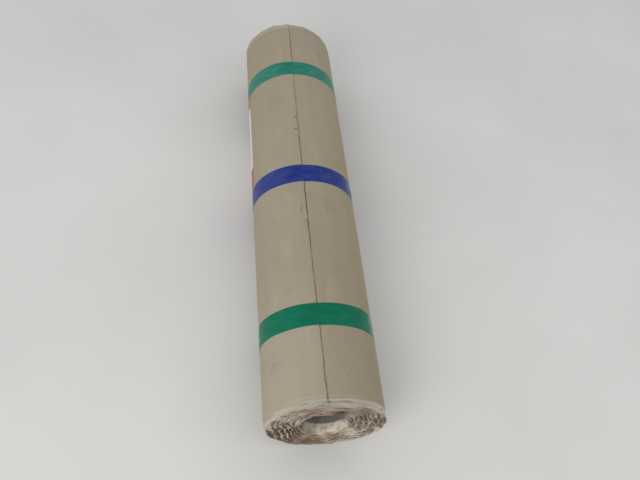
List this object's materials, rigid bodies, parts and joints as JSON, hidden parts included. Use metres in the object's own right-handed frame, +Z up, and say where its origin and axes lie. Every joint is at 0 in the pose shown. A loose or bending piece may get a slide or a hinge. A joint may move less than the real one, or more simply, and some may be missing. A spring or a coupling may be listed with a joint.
{
  "type": "roll of roofing felt",
  "caption": "Roll of paper-faced roofing membrane lying on its side, wound on a paperboard core, banded with adhesive tape, with crumpled paper turns showing on its ends.",
  "frame": {"origin": "centre of the bounding box at the floor, under the roll's lowest line", "axes": "+Y along the roll from its near end to its far end, +X to the right of someone looking along +Y, +Z up"},
  "size_m": [0.2252, 1.044, 0.1989],
  "materials": {
    "coil": "kraft release paper over bituminous sheet",
    "paperboard": "grey-brown wound paperboard",
    "green_tape": "glossy adhesive tape",
    "blue_tape": "glossy adhesive tape",
    "label": "coated label paper"
  },
  "bodies": {
    "root": {"membrane_coil": "coil", "core_tube": "paperboard", "tape_near_green": "green_tape", "tape_middle_blue": "blue_tape", "tape_far_green": "green_tape", "label": "label"}
  },
  "joints": []
}
